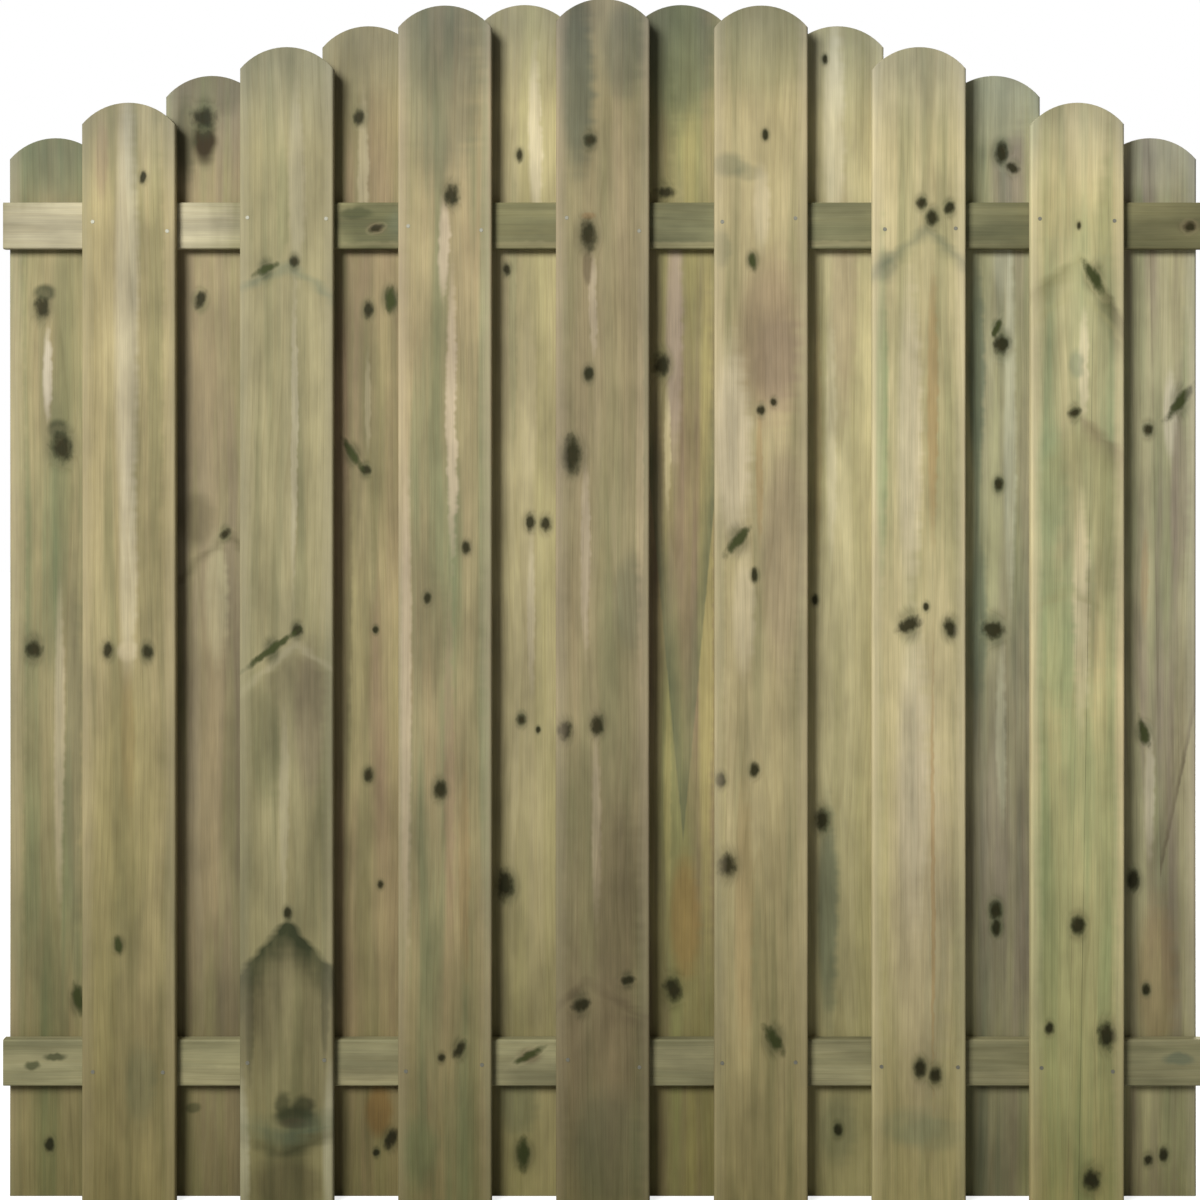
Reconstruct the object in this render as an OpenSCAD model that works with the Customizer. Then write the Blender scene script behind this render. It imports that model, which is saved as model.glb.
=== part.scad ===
// Arched fence panel. Round-topped boards are nailed in turn to the front and to the back of two
// rails, so that each board covers a gap on the other side. The board tops step down along an arch.
// X runs along the rails, Y from the front boards to the back boards, Z up.
// The origin is the middle of the lower rail's left end, where the panel is fixed to its post.

/* [Boards] */
// Width of every board
board_w = 140; // [90:1:200]
// Thickness of every board
board_t = 16; // [12:0.5:28]
// Clear gap between neighbouring boards on one side of the rails
board_gap = 96; // [20:1:130]
// Radius of the planed long edges of a board
board_edge_r = 4; // [1:0.5:5.5]
// Height of a board's round top above its shoulders
top_rise = 33; // [10:1:45]

/* [Arch] */
// Height of the panel, which is the length of its middle front board
panel_h = 1800; // [1200:1:2400]
// How far the tops of the front boards lie below the panel's height, from the middle one out to the ends
front_drops = [0, 10, 72, 155]; // [0:1:300]
// How far the tops of the back boards lie below the panel's height, from the middle pair out to the ends
back_drops = [2, 34, 109, 203]; // [0:1:300]

/* [Rails] */
// Height of a rail
rail_h = 70; // [45:1:95]
// Thickness of a rail, which is the space between the front and the back boards
rail_t = 18; // [12:1:45]
// Radius of the planed long edges of a rail
rail_edge_r = 3; // [1:0.5:5.5]
// How far a rail runs past the outer edges of the end boards
rail_end = 4; // [0:1:60]
// Height of the lower rail's underside above the feet of the boards
lower_rail_rise = 172; // [60:1:400]
// Depth of the upper rail's top edge below the shoulders of the shortest board
upper_rail_drop = 66; // [20:1:300]

/* [Colours] */
// Colour of the front boards
front_colour = "#a69c78"; // ["#a69c78", "#a39a70", "#b3a684"]
// Colour of the back boards
back_colour = "#9a8d6c"; // ["#9a8d6c", "#8f8768", "#a8987a"]
// Colour of the rails
rail_colour = "#a09a78"; // ["#a09a78", "#8f9072", "#b0a27c"]

/* [Hidden] */

$fn = 96;

front_count = 2 * len(front_drops) - 1;
back_count = 2 * len(back_drops);

pitch = board_w + board_gap;
rail_len = (back_count - 1) * pitch + board_w + 2 * rail_end;
foot_z = -(lower_rail_rise + rail_h / 2);
board_y = (rail_t + board_t) / 2;
shortest = panel_h - max(concat(front_drops, back_drops));
upper_rail_z = foot_z + shortest - top_rise - upper_rail_drop - rail_h / 2;

// Radius of the arc that spans a board's width and rises by top_rise
top_r = (pow(board_w / 2, 2) + pow(top_rise, 2)) / (2 * top_rise);

// Steps from the middle of a row of boards to board i, counted from 1 at the left
function steps(i, count) = i - (count + 1) / 2;
function board_x(i, count) = rail_len / 2 + pitch * steps(i, count);
function board_length(i, count, drops) = panel_h - drops[floor(abs(steps(i, count)))];

// Section of planed timber, w by t, with round arrises
module planed_section(w, t, r) {
    union() {
        square([w - 2 * r, t], center = true);
        square([w, t - 2 * r], center = true);
        for (sx = [-1, 1], sy = [-1, 1])
            translate([sx * (w / 2 - r), sy * (t / 2 - r)])
                circle(r);
    }
}

// Front view of what the round cut leaves, as wide as its arc and so clear of the board's sides
module under_arc(length) {
    translate([0, length - top_r])
        circle(top_r);
    translate([-top_r, -top_r])
        square([2 * top_r, length]);
}

// A board standing on its foot, planed along its length and then cut to its round top
module board(length) {
    intersection() {
        linear_extrude(length)
            planed_section(board_w, board_t, board_edge_r);
        rotate([90, 0, 0])
            linear_extrude(2 * board_t, center = true)
                under_arc(length);
    }
}

module front_board(i) {
    color(front_colour)
        translate([board_x(i, front_count), -board_y, foot_z])
            board(board_length(i, front_count, front_drops));
}

module back_board(i) {
    color(back_colour)
        translate([board_x(i, back_count), board_y, foot_z])
            board(board_length(i, back_count, back_drops));
}

// A rail with its left end at X = 0 and its middle at height z
module rail(z) {
    color(rail_colour)
        translate([0, 0, z])
            rotate([90, 0, 90])
                linear_extrude(rail_len)
                    planed_section(rail_t, rail_h, rail_edge_r);
}

for (i = [1:front_count])
    front_board(i);

for (i = [1:back_count])
    back_board(i);

rail(0);  // lower_rail
rail(upper_rail_z);  // upper_rail
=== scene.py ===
"""Looks of an arched fence panel: round-topped pine boards nailed to both sides of two rails."""

import math

import bpy
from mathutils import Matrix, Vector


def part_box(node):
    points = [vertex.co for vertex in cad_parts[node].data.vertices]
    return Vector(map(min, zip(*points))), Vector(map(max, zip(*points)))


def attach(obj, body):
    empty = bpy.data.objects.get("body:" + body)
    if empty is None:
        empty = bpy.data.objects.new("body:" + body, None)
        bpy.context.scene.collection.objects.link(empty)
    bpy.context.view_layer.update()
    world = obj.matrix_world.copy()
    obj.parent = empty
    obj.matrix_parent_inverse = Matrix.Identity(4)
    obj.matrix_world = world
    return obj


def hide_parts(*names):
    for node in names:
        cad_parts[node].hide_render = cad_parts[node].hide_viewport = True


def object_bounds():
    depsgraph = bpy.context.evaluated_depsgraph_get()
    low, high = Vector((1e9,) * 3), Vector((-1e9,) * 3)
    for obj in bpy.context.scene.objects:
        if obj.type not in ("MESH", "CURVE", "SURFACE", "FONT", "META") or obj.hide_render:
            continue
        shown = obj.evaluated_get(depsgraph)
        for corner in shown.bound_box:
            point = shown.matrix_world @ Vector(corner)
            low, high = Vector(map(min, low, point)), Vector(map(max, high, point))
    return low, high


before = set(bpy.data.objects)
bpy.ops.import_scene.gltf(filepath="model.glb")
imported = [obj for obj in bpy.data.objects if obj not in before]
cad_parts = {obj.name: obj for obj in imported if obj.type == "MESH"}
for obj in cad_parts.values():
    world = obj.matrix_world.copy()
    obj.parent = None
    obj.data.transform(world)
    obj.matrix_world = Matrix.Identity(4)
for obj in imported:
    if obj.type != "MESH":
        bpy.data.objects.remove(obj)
cad_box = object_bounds()

# Sizes in metres that the frame's boxes don't give
MM = 0.001
TOP_RISE = 33 * MM
EDGE_RADIUS = 4 * MM
CUT_RADIUS = 1 * MM
NAIL_HEAD = 6.5 * MM
NAIL_PROUD = 0.5 * MM
NAIL_SPREAD = 110 * MM
NAIL_SCATTER = (4 * MM, 0.0, 12 * MM)

FRONT_BOARDS = [f"front_board_{i}" for i in range(1, 8)]
BACK_BOARDS = [f"back_board_{i}" for i in range(1, 9)]
RAILS = ["lower_rail", "upper_rail"]

# Colours of pressure-treated pine as the eye sees them: pale juvenile wood round the pith, tan
# heartwood, sapwood that the preservative turned olive, and knots that it turned nearly black
CREAM = "#c4b898"
TAN = "#a2976f"
SAND = "#b0a47c"
OLIVE = "#88865f"
GREEN = "#808c64"
YELLOW = "#a39a6c"
PINK = "#9b866b"
PURPLE = "#867662"
LILAC = "#a09084"
ORANGE = "#987a4e"
GREY_GREEN = "#666b54"
TEAL = "#768069"
UMBER = "#61553e"
SMEAR = "#43462c"
KNOT = "#171d05"
KNOT_BROWN = "#2c230a"
BRANCH = "#343a18"
PITH = "#d6cdb4"
TOP_STAIN = "#dfe5f4"
# Painted shade: the foot of a board is multiplied by this, darker towards the bottom where the
# light falls off
FOOT_PAINTED_SHADE = "#cbcbb6"
LATEWOOD = "#a39468"
# The wood's own brown in a hollow below a knot, darkened with painted shade of the dip, which the
# mesh doesn't have
HOLLOW_WITH_PAINTED_SHADE = "#3a2c16"
WEATHERED = "#a39b7f"
STEEL_DARK = "#6f6f64"
STEEL_LIGHT = "#8d8b7c"
FLOOR_GREY = "#a9a9a7"

# How the wood varies, in cycles per millimetre across, through and along the grain
RAGGED = (0.12, 0.12, 0.08)  # torn edge of a knot
TEETH = (0.012, 0.012, 0.07)  # jagged edge of a streak
WANDER = (0.002, 0.002, 0.0045)  # slow sway of a streak
BROAD = (0.022, 0.022, 0.0016)  # heartwood against sapwood
BANDS = (0.04, 0.04, 0.0022)  # narrow bands in both
BLOTCH = (0.017, 0.017, 0.006)  # patches where the preservative went in deeper
FIBRE = (0.7, 0.7, 0.012)  # fibres that the planer left

# How strongly each mark of the wood shows, from 0 to 1
CORE_AMOUNT = 0.93
SMEAR_AMOUNT = 0.9
COLLAR_AMOUNT = 0.1
LATEWOOD_AMOUNT = 0.14
RIM_AMOUNT = 0.3
SLIT_RATIO = 0.4  # a knot narrower than this share of its length is a branch cut lengthwise

# Places of the marks that every board has, in millimetres
THROUGH = 400  # a knot or a streak goes right through its board
RIM_STARTS, RIM_FULL = 50.0, 64.0  # from the middle of the board to its pale sides
# Painted shade: a board is darkened from its foot up to this height, where the light falls off
# towards the bottom
FOOT_PAINTED_SHADE_HEIGHT = 900.0
TOP_STAIN_STARTS, TOP_STAIN_FULL = 150, 25  # below the top

# The kinds of node and socket that come up most
MATH = "ShaderNodeMath"
VECTOR_MATH = "ShaderNodeVectorMath"
MAP_RANGE = "ShaderNodeMapRange"
FLOAT = "NodeSocketFloat"
VECTOR = "NodeSocketVector"


def linear(colour):
    """An sRGB hex colour as linear RGBA."""
    channels = [int(colour[i:i + 2], 16) / 255 for i in (1, 3, 5)]
    return [c / 12.92 if c <= 0.04045 else ((c + 0.055) / 1.055) ** 2.4 for c in channels] + [1.0]


def add(tree, kind, values=(), **settings):
    """Adds a node. values gives its inputs, by order or by name, as numbers, sockets or nodes."""
    node = tree.nodes.new(kind)
    for name, value in settings.items():
        setattr(node, name, value)
    pairs = values.items() if isinstance(values, dict) else enumerate(values)
    for key, value in pairs:
        if isinstance(value, bpy.types.Node):
            value = value.outputs[0]
        if isinstance(value, bpy.types.NodeSocket):
            tree.links.new(value, node.inputs[key])
        else:
            node.inputs[key].default_value = value
    return node


def new_group(name, kind, inputs, outputs):
    """A node group with its inputs' sockets and its output node."""
    tree = bpy.data.node_groups.new(name, kind)
    for label, socket, value in inputs:
        made = tree.interface.new_socket(label, in_out="INPUT", socket_type=socket)
        if value is not None:
            made.default_value = value
    for label, socket in outputs:
        tree.interface.new_socket(label, in_out="OUTPUT", socket_type=socket)
    given = tree.nodes.new("NodeGroupInput")
    return tree, given.outputs, tree.nodes.new("NodeGroupOutput")


def knot_group():
    """A branch cut through by the board's face, in millimetres: its core, the pale collar round it,
    the dark smear it leaves along the grain, and how far it pushes the growth rings aside."""
    tree, given, result = new_group("Branch knot", "ShaderNodeTree", [
        ("Position", VECTOR, None),
        ("Ragged", FLOAT, 0.5),
        ("Centre", VECTOR, None),
        ("Half Size", VECTOR, (8, THROUGH, 10)),
        ("Turn", FLOAT, 0.0),
        ("Reach", VECTOR, (20, THROUGH, 60)),
        ("Push", FLOAT, 8.0),
    ], [("Core", FLOAT), ("Collar", FLOAT), ("Smear", FLOAT), ("Push", FLOAT)])
    away = add(tree, VECTOR_MATH, [given["Position"], given["Centre"]], operation="SUBTRACT")
    turned = add(tree, "ShaderNodeVectorRotate", {"Vector": away, "Angle": given["Turn"]},
                 rotation_type="Y_AXIS")
    scaled = add(tree, VECTOR_MATH, [turned, given["Half Size"]], operation="DIVIDE")
    distance = add(tree, VECTOR_MATH, [scaled], operation="LENGTH")
    uneven = add(tree, MATH, [given["Ragged"], 0.5], operation="SUBTRACT")
    # The edge is 1 away from the middle, and the torn fibres take it in and out
    edge = add(tree, MATH, [uneven, 1.3, distance.outputs["Value"]], operation="MULTIPLY_ADD")
    core = add(tree, MAP_RANGE, [edge, 1.5, 0.5], interpolation_type="SMOOTHSTEP")
    off_collar = add(tree, MATH, [edge, 1.6], operation="SUBTRACT")
    off_collar = add(tree, MATH, [off_collar], operation="ABSOLUTE")
    collar = add(tree, MAP_RANGE, [off_collar, 0.5, 0.0], interpolation_type="SMOOTHSTEP")
    spread = add(tree, VECTOR_MATH, [away, given["Reach"]], operation="DIVIDE")
    reach = add(tree, VECTOR_MATH, [spread], operation="LENGTH")
    near = add(tree, MAP_RANGE, [reach.outputs["Value"], 1.0, 0.0],
               interpolation_type="SMOOTHERSTEP")
    smear = add(tree, MAP_RANGE, [reach.outputs["Value"], 0.95, 0.2],
                interpolation_type="SMOOTHSTEP")
    push = add(tree, MATH, [near, given["Push"]], operation="MULTIPLY")
    for label, source in (("Core", core), ("Collar", collar), ("Smear", smear), ("Push", push)):
        tree.links.new(source.outputs[0], result.inputs[label])
    return tree


def arch_group():
    """Rings that peak in an arch below a branch: a soft line, and the tinted wood under it."""
    tree, given, result = new_group("Grain arch", "ShaderNodeTree", [
        ("Position", VECTOR, None),
        ("Shift", FLOAT, 0.0),
        ("Centre", VECTOR, None),
        ("Left Slope", FLOAT, 1.0),
        ("Right Slope", FLOAT, 1.0),
        ("Thickness", FLOAT, 6.0),
        ("Depth", FLOAT, 100.0),
        ("Way", FLOAT, 1.0),
        ("Jag", FLOAT, 14.0),
    ], [("Line", FLOAT), ("Under", FLOAT)])
    away = add(tree, VECTOR_MATH, [given["Position"], given["Centre"]], operation="SUBTRACT")
    away = add(tree, "ShaderNodeSeparateXYZ", [away])
    left = add(tree, MATH, [away.outputs["X"], given["Left Slope"]], operation="MULTIPLY")
    left = add(tree, MATH, [left, -1.0], operation="MULTIPLY")
    right = add(tree, MATH, [away.outputs["X"], given["Right Slope"]], operation="MULTIPLY")
    drop = add(tree, MATH, [left, right, 12.0], operation="SMOOTH_MAX")
    above = add(tree, MATH, [away.outputs["Z"], given["Way"], drop], operation="MULTIPLY_ADD")
    above = add(tree, MATH, [given["Shift"], given["Jag"], above], operation="MULTIPLY_ADD")
    below = add(tree, MATH, [above, -1.0], operation="MULTIPLY")
    crisp = add(tree, MAP_RANGE, [above, 8.0, -8.0])
    line = add(tree, MAP_RANGE, [below, given["Thickness"], 0.0],
               interpolation_type="SMOOTHSTEP")
    line = add(tree, MATH, [line, crisp], operation="MULTIPLY")
    starts = add(tree, MAP_RANGE, [below, 0.0, given["Thickness"]])
    ends = add(tree, MAP_RANGE, [below, given["Depth"], 0.0], interpolation_type="SMOOTHSTEP")
    under = add(tree, MATH, [starts, ends], operation="MULTIPLY")
    tree.links.new(line.outputs[0], result.inputs["Line"])
    tree.links.new(under.outputs[0], result.inputs["Under"])
    return tree


def streak_group():
    """A long soft streak in the wood along its grain, with jagged edges."""
    tree, given, result = new_group("Grain streak", "ShaderNodeTree", [
        ("Position", VECTOR, None),
        ("Shift", FLOAT, 0.0),
        ("Centre", VECTOR, None),
        ("Half Size", VECTOR, (8, THROUGH, 200)),
        ("Jag", FLOAT, 3.0),
    ], [("Amount", FLOAT)])
    shift = add(tree, MATH, [given["Shift"], given["Jag"]], operation="MULTIPLY")
    aside = add(tree, "ShaderNodeCombineXYZ", [shift, 0.0, 0.0])
    away = add(tree, VECTOR_MATH, [given["Position"], given["Centre"]], operation="SUBTRACT")
    away = add(tree, VECTOR_MATH, [away, aside], operation="ADD")
    scaled = add(tree, VECTOR_MATH, [away, given["Half Size"]], operation="DIVIDE")
    out = add(tree, VECTOR_MATH, [scaled], operation="LENGTH")
    out = add(tree, MATH, [given["Shift"], 0.2, out.outputs["Value"]], operation="MULTIPLY_ADD")
    amount = add(tree, MAP_RANGE, [out, 1.35, 0.6], interpolation_type="SMOOTHSTEP")
    tree.links.new(amount.outputs[0], result.inputs["Amount"])
    return tree


def growth_group():
    """The growth rings of the log that a board was sawn from. The pith runs along the board and
    wanders a little, so the rings are stripes and long arches on a face, and arcs on an end."""
    tree, given, result = new_group("Growth rings", "ShaderNodeTree", [
        ("Position", VECTOR, None),
        ("Pith", VECTOR, (0, 12, 0)),
        ("Ring Width", FLOAT, 5.0),
        ("Push", FLOAT, 0.0),
        ("Seed", FLOAT, 0.0),
    ], [("Latewood", FLOAT)])
    seed = add(tree, "ShaderNodeCombineXYZ", [given["Seed"]] * 3)
    slow = add(tree, VECTOR_MATH, [given["Position"], (0.0004, 0.0004, 0.0022)],
               operation="MULTIPLY")
    slow = add(tree, VECTOR_MATH, [slow, seed], operation="ADD")
    wander = add(tree, "ShaderNodeTexNoise", {"Vector": slow, "Scale": 1.0, "Detail": 0.0})
    lean = add(tree, VECTOR_MATH, [wander.outputs["Color"], (0.5, 0.5, 0.5)], operation="SUBTRACT")
    lean = add(tree, VECTOR_MATH, [lean, (26, 16, 0)], operation="MULTIPLY")
    from_pith = add(tree, VECTOR_MATH, [given["Position"], given["Pith"]], operation="SUBTRACT")
    from_pith = add(tree, VECTOR_MATH, [from_pith, lean], operation="ADD")
    from_pith = add(tree, VECTOR_MATH, [from_pith, (1, 1, 0)], operation="MULTIPLY")
    radius = add(tree, VECTOR_MATH, [from_pith], operation="LENGTH")
    uneven = add(tree, VECTOR_MATH, [given["Position"], (0.03, 0.03, 0.006)], operation="MULTIPLY")
    uneven = add(tree, VECTOR_MATH, [uneven, seed], operation="ADD")
    uneven = add(tree, "ShaderNodeTexNoise", {"Vector": uneven, "Scale": 1.0, "Detail": 1.0})
    grown = add(tree, MATH, [uneven, 5.0, radius.outputs["Value"]], operation="MULTIPLY_ADD")
    grown = add(tree, MATH, [grown, given["Push"]], operation="ADD")
    count = add(tree, MATH, [grown, given["Ring Width"]], operation="DIVIDE")
    year = add(tree, MATH, [count], operation="FRACT")
    latewood = add(tree, "ShaderNodeValToRGB", [year])
    stops = latewood.color_ramp
    stops.interpolation = "EASE"
    for place, level in ((0.35, 0.08), (0.62, 0.35), (0.86, 1.0)):
        stops.elements.new(place).color = (level, level, level, 1)
    stops.elements[0].color = (0.0, 0.0, 0.0, 1)
    stops.elements[-1].color = (0.0, 0.0, 0.0, 1)
    tree.links.new(latewood.outputs[0], result.inputs["Latewood"])
    return tree


KNOT_GROUP = knot_group()
ARCH_GROUP = arch_group()
STREAK_GROUP = streak_group()
GROWTH_GROUP = growth_group()


def wood_position(tree, corner, along_x):
    """The place in a board in millimetres: X across it, Y through it, Z along it from its foot."""
    place = add(tree, "ShaderNodeTexCoord").outputs["Object"]
    place = add(tree, VECTOR_MATH, [place, tuple(corner)], operation="SUBTRACT")
    place = add(tree, VECTOR_MATH, [place, (1000, 1000, 1000)], operation="MULTIPLY")
    if not along_x:
        return place
    parts = add(tree, "ShaderNodeSeparateXYZ", [place])
    return add(tree, "ShaderNodeCombineXYZ", [parts.outputs["Z"], parts.outputs["Y"],
                                              parts.outputs["X"]])


def stretched_noise(tree, place, seed, scale, detail=2.0, roughness=0.5):
    """Noise drawn out along the grain. scale is in cycles per millimetre."""
    scaled = add(tree, VECTOR_MATH, [place, scale], operation="MULTIPLY")
    moved = add(tree, VECTOR_MATH, [scaled, (seed, seed * 1.7, seed * 0.6)], operation="ADD")
    return add(tree, "ShaderNodeTexNoise", {"Vector": moved, "Scale": 1.0, "Detail": detail,
                                            "Roughness": roughness})


def strongest(tree, sockets):
    """The largest of several values."""
    most = sockets[0]
    for socket in sockets[1:]:
        most = add(tree, MATH, [most, socket], operation="MAXIMUM").outputs[0]
    return most


def treated_pine(name, corner, look, seed, height=None):
    """Planed pressure-treated pine. The planer leaves a dull satin face with fine fibres in it, and
    the preservative leaves the sapwood olive and the knots nearly black. A board is also darkened
    towards its foot, as painted shade where the light falls off towards the bottom. A board stands
    and has a height in metres, and a rail lies along X and has none."""
    along_x = height is None
    material = bpy.data.materials.new("planed treated pine " + name.replace("_", " "))
    material.use_nodes = True
    tree = material.node_tree
    tree.nodes.clear()
    place = wood_position(tree, corner, along_x)

    def paint(colour):
        """A colour in this board's tone, which is partly its own colour and partly painted light.
        """
        return [part * share for part, share in zip(linear(colour), look["tone"])] + [1.0]

    ragged = stretched_noise(tree, place, seed + 5.0, RAGGED)
    teeth = stretched_noise(tree, place, seed, TEETH, 1.0)
    wander = stretched_noise(tree, place, seed, WANDER, 0.0)
    shift = add(tree, MATH, [teeth, 1.5, wander], operation="MULTIPLY_ADD")
    shift = add(tree, MATH, [shift, 1.25], operation="SUBTRACT")

    layers = []  # (how it mixes, how much, tint), from the ground colour up
    push = 0.0
    cores, slits, collars, smears = [], [], [], []
    for x, z, half_w, half_l, turn in look["knots"]:
        # About the radius of a round knot that is as large
        size = 2.2 * half_w * half_l / (half_w + half_l)
        knot = add(tree, "ShaderNodeGroup", {
            "Position": place, "Ragged": ragged, "Centre": (x, 0, z),
            "Half Size": (half_w, THROUGH, half_l), "Turn": math.radians(-turn),
            "Reach": (2.0 * size, THROUGH, 3.0 * size), "Push": 0.8 * size}, node_tree=KNOT_GROUP)
        push = add(tree, MATH, [push, knot.outputs["Push"]], operation="ADD")
        is_slit = min(half_w, half_l) < SLIT_RATIO * max(half_w, half_l)
        (slits if is_slit else cores).append(knot.outputs["Core"])
        collars.append(knot.outputs["Collar"])
        smears.append(knot.outputs["Smear"])

    rings = add(tree, "ShaderNodeGroup", {
        "Position": place, "Pith": look["pith"] + (0,), "Ring Width": look["ring"],
        "Push": push, "Seed": seed}, node_tree=GROWTH_GROUP)

    ground, second, third = (paint(c) for c in look["colours"])
    broad = stretched_noise(tree, place, seed, BROAD)
    share = add(tree, MAP_RANGE, [broad, 0.34, 0.66])
    layers.append(("MIX", share, second))
    bands = stretched_noise(tree, place, seed + 7.3, BANDS)
    share = add(tree, MAP_RANGE, [bands, 0.46, 0.72, 0.0, 0.7])
    layers.append(("MIX", share, third))
    for tint, amount, x, z, half_w, half_l, jag in look["streaks"]:
        streak = add(tree, "ShaderNodeGroup", {
            "Position": place, "Shift": shift, "Centre": (x, 0, z),
            "Half Size": (half_w, THROUGH, half_l), "Jag": jag}, node_tree=STREAK_GROUP)
        factor = add(tree, MATH, [streak, amount], operation="MULTIPLY")
        layers.append(("MIX", factor, paint(tint)))
    blotch = stretched_noise(tree, place, seed + 11.0, BLOTCH, 3.0, 0.55)
    patchy = add(tree, MAP_RANGE, [blotch, 0.3, 0.7, 1.15, 0.45])
    for tint, amount, fill, x, z, left, right, thick, depth, way in look.get("arches", []):
        arch = add(tree, "ShaderNodeGroup", {
            "Position": place, "Shift": shift, "Centre": (x, 0, z), "Left Slope": left,
            "Right Slope": right, "Thickness": thick, "Depth": depth, "Way": way},
            node_tree=ARCH_GROUP)
        line = add(tree, MATH, [arch.outputs["Line"], amount], operation="MULTIPLY")
        under = add(tree, MATH, [arch.outputs["Under"], fill], operation="MULTIPLY")
        factor = add(tree, MATH, [line, under], operation="MAXIMUM")
        factor = add(tree, MATH, [factor, patchy], operation="MULTIPLY")
        layers.append(("MIX", factor, paint(tint)))

    late = add(tree, MATH, [rings.outputs["Latewood"], LATEWOOD_AMOUNT], operation="MULTIPLY")
    layers.append(("MULTIPLY", late, linear(LATEWOOD)))
    fibre = stretched_noise(tree, place, seed + 3.1, FIBRE, 2.0, 0.65)
    fibre_tone = add(tree, MAP_RANGE, [fibre, 0.3, 0.7, 0.9, 1.1])
    band_tone = add(tree, MAP_RANGE, [bands, 0.3, 0.7, 1.1, 0.9])
    blotch_tone = add(tree, MAP_RANGE, [blotch, 0.3, 0.7, 0.76, 1.24])
    tone = add(tree, MATH, [fibre_tone, band_tone], operation="MULTIPLY")
    tone = add(tree, MATH, [tone, blotch_tone], operation="MULTIPLY")
    layers.append(("MULTIPLY", 1.0, tone))

    smear = add(tree, MATH, [strongest(tree, smears), patchy], operation="MULTIPLY")
    smear = add(tree, MATH, [smear, SMEAR_AMOUNT], operation="MULTIPLY")
    layers.append(("MIX", smear, paint(UMBER if along_x else SMEAR)))
    collar = add(tree, MATH, [strongest(tree, collars), COLLAR_AMOUNT], operation="MULTIPLY")
    layers.append(("MIX", collar, paint(SAND)))
    heart = add(tree, "ShaderNodeMix", {"Factor": ragged, "A": linear(KNOT),
                                        "B": linear(KNOT_BROWN)}, data_type="RGBA").outputs[2]
    for sockets, tint in ((cores, heart), (slits, linear(BRANCH))):
        if sockets:
            core = add(tree, MATH, [strongest(tree, sockets), CORE_AMOUNT], operation="MULTIPLY")
            layers.append(("MIX", core, tint))
    if not along_x:
        up = add(tree, "ShaderNodeSeparateXYZ", [place])
        aside = add(tree, MATH, [up.outputs["X"]], operation="ABSOLUTE")
        aside = add(tree, MATH, [shift, 4.0, aside], operation="MULTIPLY_ADD")
        rim = add(tree, MAP_RANGE, [aside, RIM_STARTS, RIM_FULL, 0.0, RIM_AMOUNT])
        layers.append(("MIX", rim, paint(CREAM)))
        # Painted shade: darker towards the foot, where the light falls off towards the bottom
        low = add(tree, MAP_RANGE, [up.outputs["Z"], FOOT_PAINTED_SHADE_HEIGHT, 0.0])
        low = add(tree, MATH, [low, 1.5], operation="POWER")
        layers.append(("MULTIPLY", low, linear(FOOT_PAINTED_SHADE)))
        top = add(tree, MAP_RANGE, [
            up.outputs["Z"], height / MM - TOP_STAIN_STARTS, height / MM - TOP_STAIN_FULL])
        layers.append(("MULTIPLY", top, linear(TOP_STAIN)))

    colour = ground
    for blend, factor, tint in layers:
        mixed = add(tree, "ShaderNodeMix", {"Factor": factor, "A": colour, "B": tint},
                    data_type="RGBA", blend_type=blend)
        colour = mixed.outputs[2]

    bump = add(tree, "ShaderNodeBump", {"Strength": 0.6, "Distance": 0.25 * MM, "Height": fibre})
    rough = add(tree, MAP_RANGE, [fibre, 0.3, 0.7, 0.62, 0.78])
    surface = add(tree, "ShaderNodeBsdfPrincipled", {
        "Base Color": colour, "Roughness": rough, "IOR": 1.45,
        "Specular IOR Level": 0.2, "Normal": bump})
    add(tree, "ShaderNodeOutputMaterial", {"Surface": surface})
    return material
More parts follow.
